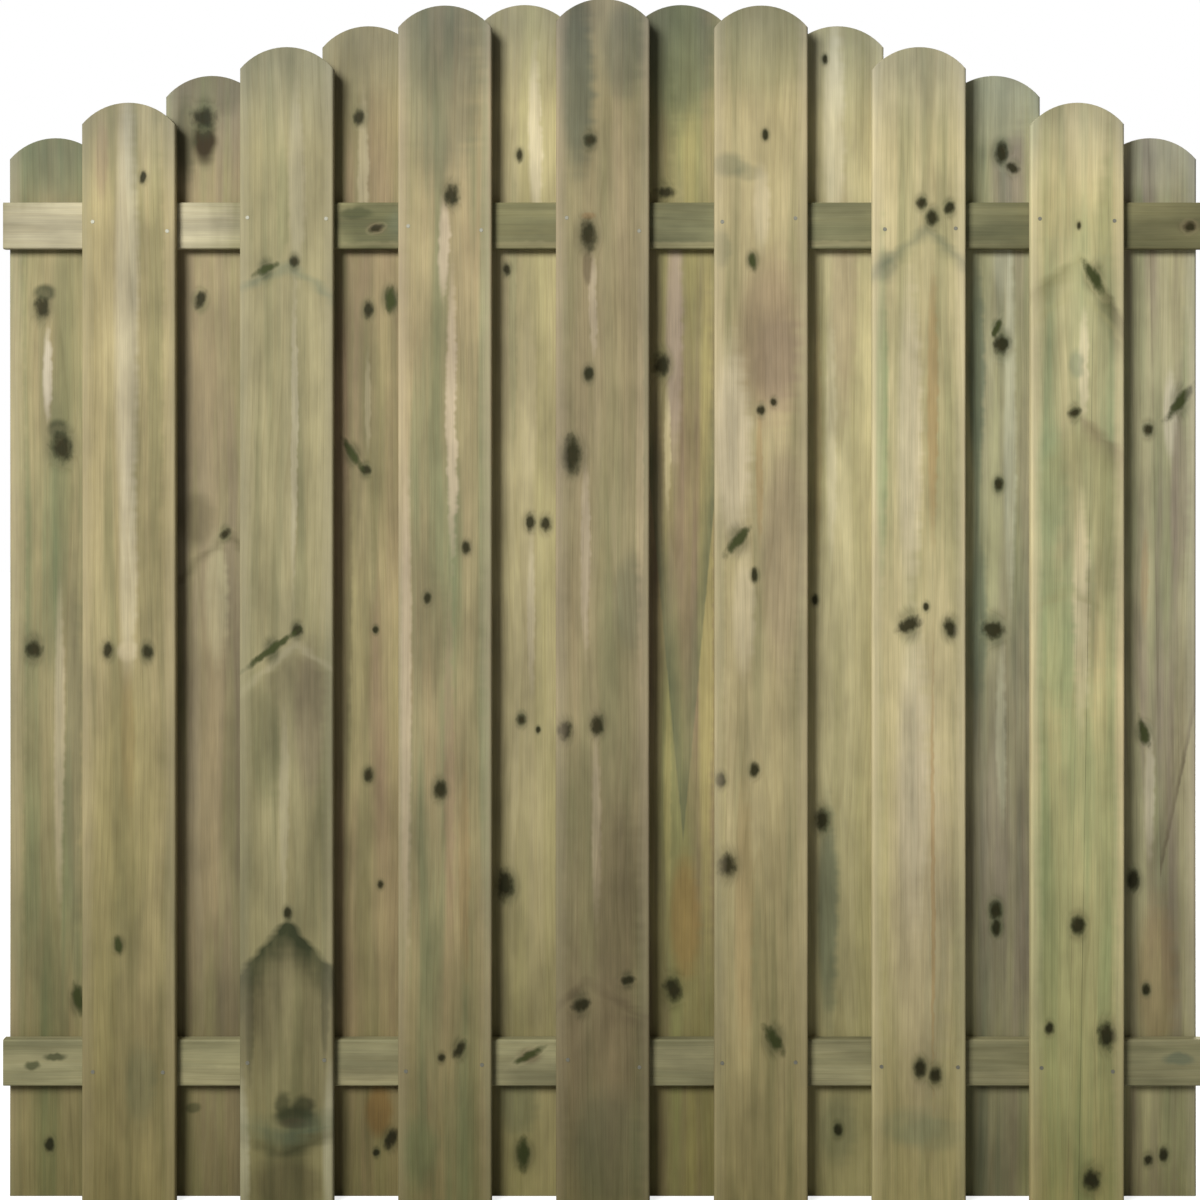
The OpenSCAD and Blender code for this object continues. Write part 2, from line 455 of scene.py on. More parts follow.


# What each board shows. Sizes are in millimetres: across from the board's middle, then up from its
# foot. tone is how much of each of red, green and blue it gives back: partly the board's own
# colour, and partly painted light, as it mostly rises from the left boards to the right ones to
# make up for the key lamp on the left falling off towards the right. A knot is (across, up, half
# width, half length, turn in degrees), and a long narrow one is a branch cut lengthwise, greener
# than a round one. A streak is (colour, amount, across, up, half width, half length, raggedness of
# its edges). An arch is (colour, amount of its line, amount under it, across, up, slope of its left
# arm, slope of its right arm, thickness, depth of the tint under it, 1 for a peak or -1 for a dip).
LOOKS = {
    "front_board_1": {
        "tone": (0.74, 0.72, 0.68), "pith": (-8, 30), "ring": 6.0, "colours": (TAN, SAND, OLIVE),
        "knots": [
            (22, 1533, 4, 9, 15), (-30, 828, 7, 10, 15), (28, 825, 7, 10, -15),
            (-15, 388, 5, 13, -8),
        ],
        "streaks": [
            (PITH, 0.5, -3, 1330, 17, 330, 3), (PITH, 0.4, 0, 960, 13, 190, 3),
            (PINK, 0.5, -40, 1560, 9, 60, 4), (OLIVE, 0.5, 40, 1300, 12, 330, 4),
            (CREAM, 1.0, -1, 826, 15, 15, 3), (ORANGE, 0.45, 0, 700, 10, 100, 4),
            (YELLOW, 0.5, 0, 620, 50, 180, 6), (TEAL, 0.35, 18, 180, 22, 60, 6),
            (YELLOW, 0.5, -35, 400, 20, 260, 4), (SAND, 0.6, 60, 250, 7, 220, 3),
        ],
    },
    "front_board_2": {
        "tone": (0.66, 0.68, 0.68), "pith": (5, 34), "ring": 7.0, "colours": (TAN, SAND, OLIVE),
        "knots": [
            (-30, 1397, 18, 5, -25), (12, 1408, 6, 7, 0), (-24, 828, 46, 5, -36),
            (16, 858, 7, 7, 0), (2, 436, 5, 8, 0),
        ],
        "streaks": [
            (CREAM, 0.7, 11, 1150, 5, 220, 5), (OLIVE, 0.5, -6, 1500, 9, 90, 4),
            (CREAM, 0.5, 15, 1530, 12, 130, 5), (PURPLE, 0.5, 34, 730, 22, 110, 6),
            (OLIVE, 0.5, -30, 690, 20, 90, 6), (CREAM, 0.45, -4, 600, 7, 130, 4),
            (SMEAR, 0.6, -54, 274, 7, 90, 3), (SMEAR, 0.6, 58, 290, 6, 80, 3),
            (SMEAR, 0.85, 17, 132, 33, 17, 14), (SMEAR, 0.7, -2, 148, 13, 22, 12),
            (SMEAR, 0.8, 29, 146, 17, 19, 12), (UMBER, 0.7, 14, 122, 24, 8, 5),
            (UMBER, 0.5, 0, 30, 50, 44, 4), (PITH, 1.0, -68, 70, 13, 120, 3),
            (PITH, 1.0, 68, 80, 13, 130, 3),
        ],
        "arches": [
            (TEAL, 0.7, 0.0, 4, 1408, 0.5, 0.75, 24, 30, 1),
            (SAND, 0.0, 0.5, 4, 1386, 0.5, 0.75, 8, 110, 1),
            (UMBER, 0.0, 0.35, 10, 840, 0.9, 0.8, 20, 190, 1),
            (CREAM, 0.6, 0.0, 14, 846, 0.9, 0.8, 16, 30, 1),
            (UMBER, 0.0, 0.6, 2, 424, 1.1, 1.1, 20, 300, 1),
            (SMEAR, 1.4, 0.0, 2, 430, 1.1, 1.1, 84, 90, 1),
            (SMEAR, 0.8, 0.0, -4, 70, 0.3, 0.35, 36, 30, -1),
            (TEAL, 0.9, 0.0, -4, 88, 0.3, 0.35, 44, 30, -1),
        ],
    },
    "front_board_3": {
        "tone": (0.9, 0.84, 0.88), "pith": (-2, 26), "ring": 6.0, "colours": (OLIVE, TAN, GREEN),
        "knots": [
            (10, 1507, 9, 14, 0), (32, 981, 5, 9, 0), (-26, 906, 5, 7, 0), (-7, 620, 8, 12, 0),
            (22, 232, 6, 13, 30), (-5, 220, 5, 5, 0),
        ],
        "streaks": [
            (GREEN, 0.6, -36, 80, 28, 55, 6), (CREAM, 0.75, -2, 1430, 8, 70, 7),
            (CREAM, 0.75, 11, 1180, 8, 190, 8), (GREY_GREEN, 0.5, -8, 1690, 56, 160, 8),
            (UMBER, 0.3, -20, 850, 26, 90, 6), (CREAM, 0.6, -57, 750, 8, 330, 4),
            (PINK, 0.4, 8, 650, 8, 250, 8), (GREEN, 0.5, 60, 1100, 10, 500, 3),
            (ORANGE, 0.3, 30, 500, 8, 160, 4),
        ],
    },
    "front_board_4": {
        "tone": (0.76, 0.72, 0.76), "pith": (8, 28), "ring": 6.0, "colours": (OLIVE, TAN, SAND),
        "knots": [
            (-19, 1589, 8, 8, 30), (-22, 1448, 11, 19, 0), (-21, 1240, 6, 9, 0),
            (-46, 1119, 11, 24, 0), (-57, 709, 9, 12, 0), (-9, 716, 8, 14, 0),
            (-31, 299, 12, 8, -20), (37, 336, 10, 5, -10),
        ],
        "streaks": [
            (GREY_GREEN, 0.8, -40, 1680, 26, 130, 8), (GREY_GREEN, 0.5, 30, 1720, 30, 70, 8),
            (ORANGE, 0.6, -22, 1476, 10, 5, 3), (UMBER, 0.6, -22, 1400, 8, 28, 3),
            (CREAM, 0.6, -14, 1340, 6, 70, 6), (CREAM, 0.6, -26, 970, 7, 130, 5),
            (SAND, 0.8, 55, 1050, 6, 330, 3), (GREY_GREEN, 0.4, 40, 900, 22, 70, 8),
            (CREAM, 0.45, -10, 560, 7, 130, 5), (PURPLE, 0.3, 0, 220, 55, 150, 8),
            (UMBER, 0.35, 22, 430, 36, 150, 8), (GREY_GREEN, 0.5, 12, 80, 60, 90, 8),
        ],
        "arches": [(UMBER, 0.6, 0.35, -25, 338, 0.9, 0.6, 26, 260, 1)],
    },
    "front_board_5": {
        "tone": (0.94, 0.92, 0.92), "pith": (0, 30), "ring": 6.5, "colours": (TAN, SAND, OLIVE),
        "knots": [
            (6, 1597, 4, 7, 0), (-13, 1410, 5, 13, -10), (0, 1186, 6, 6, 0), (19, 1198, 5, 5, 0),
            (-35, 992, 27, 7, -50), (-10, 940, 4, 10, 0), (-10, 649, 6, 9, 0), (-60, 634, 6, 9, 0),
            (-51, 508, 13, 14, 0), (19, 247, 8, 22, -35),
        ],
        "streaks": [
            (OLIVE, 0.5, 0, 1740, 70, 90, 8), (PINK, 0.6, 16, 1290, 50, 120, 12),
            (PURPLE, 0.5, 26, 1260, 34, 70, 10), (GREY_GREEN, 0.5, -48, 1552, 28, 18, 9),
            (GREY_GREEN, 0.35, -18, 1540, 20, 12, 9), (GREY_GREEN, 0.4, -60, 1428, 14, 28, 5),
            (CREAM, 0.8, -44, 1140, 26, 140, 8), (CREAM, 0.5, -26, 880, 16, 90, 5),
            (PURPLE, 0.45, 34, 960, 32, 170, 8), (OLIVE, 0.4, -62, 870, 8, 180, 3),
            (YELLOW, 0.6, -58, 640, 7, 150, 3), (ORANGE, 0.4, -3, 1090, 5, 90, 3),
            (CREAM, 0.45, 0, 1490, 12, 60, 5), (ORANGE, 0.3, -25, 430, 14, 200, 4),
        ],
    },
    "front_board_6": {
        "tone": (1.26, 1.26, 1.28), "pith": (18, 26), "ring": 6.0, "colours": (TAN, SAND, OLIVE),
        "knots": [
            (3, 1495, 7, 7, 0), (45, 1488, 9, 6, -40), (19, 1473, 8, 10, 0),
            (-16, 866, 17, 9, -25), (10, 893, 4, 5, 0), (46, 861, 8, 13, -20), (1, 205, 8, 12, 0),
            (24, 194, 8, 10, 0),
        ],
        "streaks": [
            (SAND, 0.4, 0, 1690, 70, 60, 6), (CREAM, 0.6, -14, 1150, 18, 220, 6),
            (ORANGE, 0.5, 20, 1200, 8, 190, 4), (GREEN, 0.65, -56, 1190, 9, 240, 3),
            (GREY_GREEN, 0.55, -50, 1400, 16, 24, 5), (CREAM, 0.5, -10, 640, 22, 220, 5),
            (LILAC, 0.25, 4, 440, 46, 330, 6), (ORANGE, 0.5, 20, 500, 3, 300, 3),
            (YELLOW, 0.5, -56, 500, 10, 260, 3), (TEAL, 0.3, -14, 118, 44, 26, 8),
            (TEAL, 0.25, 20, 106, 50, 24, 8),
        ],
        "arches": [
            (GREY_GREEN, 0.75, 0.0, 12, 1466, 0.85, 0.95, 30, 40, 1),
            (SAND, 0.0, 0.3, 12, 1440, 0.85, 0.95, 10, 120, 1),
        ],
    },
    "front_board_7": {
        "tone": (1.52, 1.46, 1.44), "pith": (4, 34), "ring": 7.0, "colours": (OLIVE, TAN, GREEN),
        "knots": [
            (24, 1385, 7, 24, -30), (-5, 1182, 9, 6, -35), (1, 418, 9, 12, 0), (-42, 264, 6, 7, 0),
            (43, 254, 11, 17, -10), (21, 38, 11, 14, 0), (2, 1462, 3, 6, 0),
        ],
        "streaks": [
            (SAND, 0.6, 15, 1610, 35, 120, 6), (CREAM, 0.6, 10, 1250, 8, 80, 5),
            (GREEN, 0.7, -38, 1070, 24, 90, 7), (GREY_GREEN, 0.6, 0, 1255, 12, 22, 5),
            (TEAL, 0.3, 0, 1150, 90, 330, 8), (CREAM, 0.45, 6, 880, 12, 170, 6),
            (GREEN, 0.4, 0, 350, 80, 420, 6), (GREEN, 0.5, -30, 850, 26, 120, 8),
            (OLIVE, 0.5, 45, 1010, 22, 120, 7),
        ],
        "arches": [
            (OLIVE, 1.0, 0.0, 6, 1424, 0.75, 1.6, 40, 40, 1),
            (SMEAR, 0.4, 0.0, 6, 1424, 0.75, 60.0, 50, 40, 1),
            (SMEAR, 0.8, 0.0, 24, 1404, 60.0, 1.8, 90, 40, 1),
            (OLIVE, 0.7, 0.0, 0, 1376, 0.8, 1.2, 14, 40, 1),
            (UMBER, 0.6, 0.0, 4, 1184, 60.0, 0.9, 70, 170, 1),
            (OLIVE, 0.0, 0.6, -4, 1180, 1.1, 0.9, 34, 200, 1),
            (OLIVE, 0.6, 0.0, -10, 925, 0.5, 0.7, 14, 40, 1),
        ],
    },
    "back_board_1": {
        "tone": (0.78, 0.76, 0.76), "pith": (4, 30), "ring": 6.0, "colours": (OLIVE, TAN, GREEN),
        "knots": [
            (-21, 1341, 10, 15, 0), (9, 1131, 13, 20, -15), (-33, 825, 11, 11, 0),
            (35, 297, 7, 20, -15), (-9, 78, 6, 9, 0),
        ],
        "streaks": [
            (SMEAR, 0.85, -16, 1364, 16, 12, 4), (SMEAR, 0.8, 4, 1158, 16, 14, 4),
            (GREEN, 0.3, 0, 1570, 60, 60, 6), (PITH, 0.75, -12, 1240, 7, 60, 4),
            (CREAM, 0.6, 6, 680, 8, 220, 4), (GREY_GREEN, 0.4, 28, 660, 13, 280, 5),
            (OLIVE, 0.4, 12, 1050, 16, 60, 6), (SAND, 0.5, -55, 900, 10, 600, 3),
        ],
    },
    "back_board_2": {
        "tone": (0.78, 0.86, 0.78), "pith": (-6, 26), "ring": 6.0, "colours": (PURPLE, PINK, TAN),
        "knots": [(-12, 1628, 15, 12, 0), (-17, 1353, 7, 12, 20), (20, 1000, 9, 5, -40)],
        "streaks": [
            # The dark brown under the top knot is the wood's brown with painted shade of a hollow
            (HOLLOW_WITH_PAINTED_SHADE, 1.0, -11, 1594, 18, 36, 3), (SMEAR, 0.6, -28, 133, 12, 8, 5),
            (SMEAR, 0.55, -40, 1600, 16, 60, 5), (SMEAR, 0.25, 0, 1670, 60, 40, 5),
            (UMBER, 0.55, -24, 1020, 26, 40, 5), (CREAM, 0.5, 6, 900, 16, 90, 5),
            (PINK, 0.5, 0, 700, 26, 300, 5),
        ],
        "arches": [(UMBER, 0.9, 0.0, 24, 1006, 1.0, 1.0, 26, 40, 1)],
    },
    "back_board_3": {
        "tone": (0.76, 0.76, 0.72), "pith": (-6, 30), "ring": 6.0, "colours": (TAN, PINK, OLIVE),
        "knots": [
            (-14, 1628, 7, 10, 0), (0, 1338, 6, 12, 0), (33, 1353, 7, 18, 0),
            (-24, 1120, 5, 26, -32), (-4, 1096, 7, 6, 0), (11, 855, 4, 4, 0), (0, 636, 6, 9, 0),
            (18, 470, 4, 5, 0), (34, 86, 7, 14, 25), (12, 66, 5, 4, 0),
        ],
        "streaks": [
            (SAND, 0.6, 0, 1740, 60, 70, 6), (CREAM, 0.6, -8, 1540, 8, 110, 5),
            (CREAM, 0.5, 0, 1200, 5, 70, 3), (ORANGE, 0.9, 16, 130, 20, 40, 3),
            (UMBER, 0.35, -34, 900, 9, 200, 4), (SAND, 0.4, -5, 950, 12, 130, 4),
        ],
    },
    "back_board_4": {
        "tone": (0.92, 0.92, 0.96), "pith": (4, 34), "ring": 6.0, "colours": (TAN, YELLOW, SAND),
        "knots": [
            (-8, 1572, 4, 10, 0), (-27, 1399, 5, 8, 0), (8, 1017, 6, 13, 0), (32, 1014, 7, 10, 0),
            (-5, 719, 6, 7, 0), (20, 704, 3, 4, 0), (-30, 470, 10, 20, 0), (-2, 63, 8, 22, 0),
        ],
        "streaks": [
            (CREAM, 0.6, 15, 1600, 10, 120, 5), (SAND, 0.6, 5, 1200, 12, 130, 5),
            (CREAM, 0.5, 10, 880, 6, 110, 4), (OLIVE, 0.5, -18, 1330, 6, 200, 3),
            (GREY_GREEN, 0.5, -10, 150, 30, 60, 6),
        ],
    },
    "back_board_5": {
        "tone": (1.02, 1.0, 0.88), "pith": (-6, 26), "ring": 6.0,
        "colours": (PURPLE, OLIVE, YELLOW),
        "knots": [(-24, 1515, 14, 7, 0), (-30, 1255, 11, 15, 0), (-12, 312, 11, 16, -25)],
        "streaks": [
            (GREY_GREEN, 0.75, -5, 1730, 60, 110, 6), (YELLOW, 0.7, 38, 900, 12, 500, 4),
            (SMEAR, 0.35, -30, 1620, 20, 120, 6), (LILAC, 0.8, -10, 1290, 13, 170, 4),
            (CREAM, 0.5, -20, 1130, 5, 90, 4), (UMBER, 0.4, -36, 1050, 9, 160, 4),
            (ORANGE, 0.6, 5, 420, 22, 90, 3), (YELLOW, 0.6, -20, 600, 6, 150, 3),
        ],
        "arches": [(GREY_GREEN, 0.0, 0.8, 3, 522, 10.8, 10.8, 25, 330, -1)],
    },
    "back_board_6": {
        "tone": (1.04, 1.08, 1.1), "pith": (0, 30), "ring": 6.0, "colours": (TAN, SAND, YELLOW),
        "knots": [
            (-19, 1716, 4, 6, 0), (-34, 900, 4, 7, 0), (-23, 568, 9, 14, 0), (1, 100, 6, 8, 0),
        ],
        "streaks": [
            (CREAM, 0.6, -5, 1600, 16, 160, 5), (PINK, 0.45, 10, 1350, 20, 160, 4),
            (ORANGE, 0.3, -30, 1150, 6, 200, 4), (CREAM, 0.4, -10, 1150, 8, 180, 5),
            (GREY_GREEN, 0.75, -14, 426, 16, 160, 4), (GREY_GREEN, 0.4, 0, 100, 30, 50, 5),
        ],
    },
    "back_board_7": {
        "tone": (0.96, 1.08, 1.16), "pith": (10, 26), "ring": 6.0,
        "colours": (TAN, PURPLE, GREY_GREEN),
        "knots": [
            (12, 1575, 8, 15, 0), (28, 1552, 10, 6, 30), (11, 1285, 11, 12, 0),
            (4, 1310, 4, 14, 25), (7, 1074, 6, 9, 0), (-1, 855, 15, 11, 0), (3, 431, 8, 12, 0),
            (4, 406, 6, 12, 0),
        ],
        "streaks": [
            (SAND, 0.8, -6, 1650, 60, 60, 6), (CREAM, 0.6, 24, 1180, 9, 260, 2),
            (CREAM, 0.4, 14, 1420, 16, 60, 4), (GREY_GREEN, 0.7, -26, 1250, 12, 150, 5),
            (GREY_GREEN, 0.5, -24, 860, 14, 110, 5), (CREAM, 0.4, 12, 700, 8, 120, 5),
        ],
    },
    "back_board_8": {
        "tone": (1.2, 1.24, 1.44), "pith": (0, 30), "ring": 6.0, "colours": (OLIVE, TAN, PURPLE),
        "knots": [
            (-3, 1157, 7, 8, 0), (46, 1200, 7, 30, 38), (-10, 700, 6, 20, -15),
            (-26, 478, 8, 14, 0), (-6, 312, 5, 7, 0), (-3, 55, 6, 7, 0), (20, 63, 6, 9, 0),
        ],
        "streaks": [
            (SAND, 0.5, 0, 1570, 60, 50, 6), (CREAM, 0.5, 30, 1180, 10, 60, 3),
            (PURPLE, 0.45, 44, 1060, 14, 120, 4), (YELLOW, 0.5, 40, 1400, 12, 160, 4),
            (ORANGE, 0.4, 10, 330, 30, 120, 6), (ORANGE, 0.35, -8, 930, 6, 70, 4),
            (CREAM, 0.4, -2, 600, 8, 90, 4),
        ],
        "arches": [(UMBER, 0.7, 0.45, 15, 482, 60.0, 4.8, 60, 280, -1)],
    },
    "lower_rail": {
        "tone": (1.0, 1.0, 1.0), "pith": (10, 30), "ring": 6.0,
        "colours": ("#868160", "#8e8966", "#7a7857"),
        "knots": [(12, 790, 22, 5, -60)],
        "streaks": [
            (SMEAR, 0.85, -2, 44, 7, 12, 8), (SMEAR, 0.85, 11, 78, 6, 17, 8),
            (GREY_GREEN, 0.8, 4, 1764, 9, 22, 9), (SAND, 0.25, -20, 400, 14, 300, 3),
        ],
    },
    "upper_rail": {
        "tone": (1.0, 1.0, 1.0), "pith": (-8, 30), "ring": 6.0,
        "colours": ("#757250", "#7f7a57", "#6a6848"),
        "knots": [(-4, 560, 5, 9, 15), (-2, 1780, 7, 8, 0)],
        "streaks": [
            (WEATHERED, 1.0, 0, 150, 60, 210, 8), (SMEAR, 0.5, 0, 560, 44, 50, 6),
            (SMEAR, 0.7, 18, 528, 8, 26, 5), (GREY_GREEN, 0.6, 0, 640, 30, 60, 5),
            (GREY_GREEN, 0.3, 0, 1250, 50, 420, 5), (SAND, 0.25, -28, 1000, 5, 500, 3),
        ],
    },
}


def plank_tree():
    """A standing board with a round top, as a grid that follows the arc, given its thickness."""
    tree, size, result = new_group("Round topped plank", "GeometryNodeTree", [
        ("Width", FLOAT, 0.14),
        ("Thickness", FLOAT, 0.016),
        ("Length", FLOAT, 1.8),
        ("Top Rise", FLOAT, 0.033),
        ("Foot", VECTOR, None),
        ("Spring", FLOAT, 0.0),
        ("Columns", "NodeSocketInt", 21),
        ("Rows", "NodeSocketInt", 141),
        ("Material", "NodeSocketMaterial", None),
    ], [("Geometry", "NodeSocketGeometry")])
    grid = add(tree, "GeometryNodeMeshGrid", [size["Width"], 1.0, size["Columns"], size["Rows"]])
    place = add(tree, "ShaderNodeSeparateXYZ", [add(tree, "GeometryNodeInputPosition")])
    share = add(tree, MATH, [place.outputs["Y"], 0.5], operation="ADD")
    half = add(tree, MATH, [size["Width"], 0.5], operation="MULTIPLY")
    half_squared = add(tree, MATH, [half, half], operation="MULTIPLY")
    radius = add(tree, MATH, [size["Top Rise"], size["Top Rise"], half_squared],
                 operation="MULTIPLY_ADD")
    radius = add(tree, MATH, [radius, size["Top Rise"]], operation="DIVIDE")
    radius = add(tree, MATH, [radius, 0.5], operation="MULTIPLY")
    radius_squared = add(tree, MATH, [radius, radius], operation="MULTIPLY")
    across = add(tree, MATH, [place.outputs["X"], place.outputs["X"]], operation="MULTIPLY")
    arc = add(tree, MATH, [radius_squared, across], operation="SUBTRACT")
    arc = add(tree, MATH, [arc], operation="SQRT")
    drop = add(tree, MATH, [radius, arc], operation="SUBTRACT")
    top = add(tree, MATH, [size["Length"], drop], operation="SUBTRACT")
    up = add(tree, MATH, [share, top], operation="MULTIPLY")
    swing = add(tree, MATH, [share, math.pi], operation="MULTIPLY")
    swing = add(tree, MATH, [swing], operation="SINE")
    aside = add(tree, MATH, [swing, size["Spring"], place.outputs["X"]], operation="MULTIPLY_ADD")
    back = add(tree, MATH, [size["Thickness"], 0.5], operation="MULTIPLY")
    stood = add(tree, "ShaderNodeCombineXYZ", [aside, back, up])
    stood = add(tree, VECTOR_MATH, [stood, size["Foot"]], operation="ADD")
    face = add(tree, "GeometryNodeSetPosition", {"Geometry": grid, "Position": stood})
    through = add(tree, MATH, [size["Thickness"], -1.0], operation="MULTIPLY")
    through = add(tree, "ShaderNodeCombineXYZ", [0.0, through, 0.0])
    body = add(tree, "GeometryNodeExtrudeMesh", {"Mesh": face, "Offset": through,
                                                 "Offset Scale": 1.0, "Individual": False})
    other_face = add(tree, "GeometryNodeFlipFaces", [face])
    joined = add(tree, "GeometryNodeJoinGeometry")
    tree.links.new(body.outputs[0], joined.inputs[0])
    tree.links.new(other_face.outputs[0], joined.inputs[0])
    solid = add(tree, "GeometryNodeMergeByDistance", {"Geometry": joined, "Distance": 0.02 * MM})

    # Long arrises are planed round, and the sawn foot and top are only eased
    spot = add(tree, VECTOR_MATH, [add(tree, "GeometryNodeInputPosition"), size["Foot"]],
               operation="SUBTRACT")
    spot = add(tree, "ShaderNodeSeparateXYZ", [spot])
    depth = add(tree, MATH, [spot.outputs["Y"]], operation="ABSOLUTE")
    on_face = add(tree, "FunctionNodeCompare", {"A": depth, "B": 0.1 * MM},
                  operation="GREATER_THAN")
    side = add(tree, MATH, [spot.outputs["X"]], operation="ABSOLUTE")
    near_side = add(tree, MATH, [half, 2.5 * MM], operation="SUBTRACT")
    on_side = add(tree, "FunctionNodeCompare", {"A": side, "B": near_side},
                  operation="GREATER_THAN")
    arris = add(tree, "FunctionNodeBooleanMath", [on_face, on_side], operation="AND")
    angle = add(tree, "GeometryNodeInputMeshEdgeAngle")
    sharp = add(tree, "FunctionNodeCompare", {"A": angle, "B": math.radians(40)},
                operation="GREATER_THAN")
    weight = add(tree, MAP_RANGE, [arris, 0.0, 1.0, CUT_RADIUS / EDGE_RADIUS, 1.0])
    weight = add(tree, MATH, [weight, sharp], operation="MULTIPLY")
    marked = add(tree, "GeometryNodeStoreNamedAttribute",
                 {"Geometry": solid, "Name": "bevel_weight_edge", "Value": weight},
                 data_type="FLOAT", domain="EDGE")
    realized = add(tree, "GeometryNodeRealizeInstances", [marked])
    finished = add(tree, "GeometryNodeSetMaterial", {"Geometry": realized,
                                                     "Material": size["Material"]})
    tree.links.new(finished.outputs[0], result.inputs[0])
    return tree


def nail_tree():
    """Round nail heads: a pair where each board of a row crosses each rail, each a little out of
    line with the next, as driven by hand."""
    tree, size, result = new_group("Rows of nail heads", "GeometryNodeTree", [
        ("Boards", "NodeSocketInt", 7),
        ("Pitch", FLOAT, 0.236),
        ("First", VECTOR, None),
        ("Rail Step", FLOAT, 1.25),
        ("Pair Spread", FLOAT, 0.1),
        ("Outward", FLOAT, -1.0),
        ("Scatter", VECTOR, (0.004, 0.0, 0.012)),
        ("Head", FLOAT, 0.0065),
        ("Proud", FLOAT, 0.0005),
        ("Seed", "NodeSocketInt", 1),
        ("Material", "NodeSocketMaterial", None),
    ], [("Geometry", "NodeSocketGeometry")])
    step = add(tree, "ShaderNodeCombineXYZ", [size["Pitch"], 0.0, 0.0])
    row = add(tree, "GeometryNodeMeshLine", {
        "Count": size["Boards"], "Start Location": size["First"], "Offset": step})
    spread = add(tree, "ShaderNodeCombineXYZ", [size["Pair Spread"], 0.0, 0.0])
    aside = add(tree, VECTOR_MATH, [spread, (-0.5, -0.5, -0.5)], operation="MULTIPLY")
    pair = add(tree, "GeometryNodeMeshLine", {
        "Count": 2, "Start Location": aside, "Offset": spread})
    rise = add(tree, "ShaderNodeCombineXYZ", [0.0, 0.0, size["Rail Step"]])
    rails = add(tree, "GeometryNodeMeshLine", {"Count": 2, "Offset": rise})
    pairs = add(tree, "GeometryNodeInstanceOnPoints", {"Points": rails, "Instance": pair})
    crossing = add(tree, "GeometryNodeRealizeInstances", [pairs])
    spots = add(tree, "GeometryNodeInstanceOnPoints", {"Points": row, "Instance": crossing})
    spots = add(tree, "GeometryNodeRealizeInstances", [spots])
    low = add(tree, VECTOR_MATH, [size["Scatter"], (-1, -1, -1)], operation="MULTIPLY")
    stray = add(tree, "FunctionNodeRandomValue", {"Min": low, "Max": size["Scatter"],
                                                  "Seed": size["Seed"]}, data_type="FLOAT_VECTOR")
    spots = add(tree, "GeometryNodeSetPosition", {"Geometry": spots, "Offset": stray})

    radius = add(tree, MATH, [size["Head"], 0.5], operation="MULTIPLY")
    depth = add(tree, MATH, [size["Proud"], 2.0], operation="MULTIPLY")
    disc = add(tree, "GeometryNodeMeshCylinder", {"Vertices": 16, "Radius": radius, "Depth": depth})
    at = add(tree, "ShaderNodeSeparateXYZ", [add(tree, "GeometryNodeInputPosition")])
    inward = add(tree, "FunctionNodeCompare", {"A": at.outputs["Z"], "B": 0.0},
                 operation="GREATER_THAN")
    eased = add(tree, MAP_RANGE, [inward, 0.0, 1.0, 1.0, 0.86])
    eased = add(tree, "ShaderNodeCombineXYZ", [eased, eased, 1.0])
    shrunk = add(tree, VECTOR_MATH, [add(tree, "GeometryNodeInputPosition"), eased],
                 operation="MULTIPLY")
    head = add(tree, "GeometryNodeSetPosition", {"Geometry": disc, "Position": shrunk})
    turn = add(tree, MATH, [size["Outward"], -math.pi / 2], operation="MULTIPLY")
    turn = add(tree, "ShaderNodeCombineXYZ", [turn, 0.0, 0.0])
    heads = add(tree, "GeometryNodeInstanceOnPoints", {"Points": spots, "Instance": head,
                                                       "Rotation": turn})
    heads = add(tree, "GeometryNodeRealizeInstances", [heads])
    finished = add(tree, "GeometryNodeSetMaterial", {"Geometry": heads,
                                                     "Material": size["Material"]})
    tree.links.new(finished.outputs[0], result.inputs[0])
    return tree


def grow(name, tree, values, bevel=None):
    """Runs a geometry tree with the named values and keeps the result as a plain mesh object."""
    holder = bpy.data.objects.new(name + "_maker", bpy.data.meshes.new(name + "_maker"))
    bpy.context.scene.collection.objects.link(holder)
    modifier = holder.modifiers.new("make", "NODES")
    modifier.node_group = tree
    sockets = {item.name: item.identifier for item in tree.interface.items_tree
               if item.item_type == "SOCKET" and item.in_out == "INPUT"}
    for label, value in values.items():
        modifier[sockets[label]] = value
    if bevel:
        rounding = holder.modifiers.new("round", "BEVEL")
        rounding.limit_method = "WEIGHT"
        rounding.width = bevel
        rounding.segments = 4
        rounding.use_clamp_overlap = False
    holder.update_tag()
    bpy.context.view_layer.update()
    evaluated = holder.evaluated_get(bpy.context.evaluated_depsgraph_get())
    mesh = bpy.data.meshes.new_from_object(evaluated)
    bpy.data.objects.remove(holder)
    mesh.name = name
    piece = bpy.data.objects.new(name, mesh)
    bpy.context.scene.collection.objects.link(piece)
    return piece


def galvanised_steel():
    """Hot-dipped nail heads, dull grey with a soft gloss."""
    material = bpy.data.materials.new("galvanised steel nail")
    material.use_nodes = True
    tree = material.node_tree
    tree.nodes.clear()
    place = add(tree, "ShaderNodeTexCoord").outputs["Object"]
    spangle = add(tree, "ShaderNodeTexNoise", {"Vector": place, "Scale": 900.0, "Detail": 2.0})
    colour = add(tree, "ShaderNodeMix", {"Factor": spangle, "A": linear(STEEL_DARK),
                                         "B": linear(STEEL_LIGHT)}, data_type="RGBA")
    rough = add(tree, MAP_RANGE, [spangle, 0.3, 0.7, 0.45, 0.6])
    surface = add(tree, "ShaderNodeBsdfPrincipled", {"Base Color": colour.outputs[2],
                                                     "Metallic": 0.9, "Roughness": rough})
    add(tree, "ShaderNodeOutputMaterial", {"Surface": surface})
    return material


PLANK = plank_tree()
NAILS = nail_tree()
# How far the middle of each board bows sideways, in millimetres
SPRINGS = [0.6, -0.5, 0.3, -0.7, 0.5, -0.3, 0.7, -0.6]


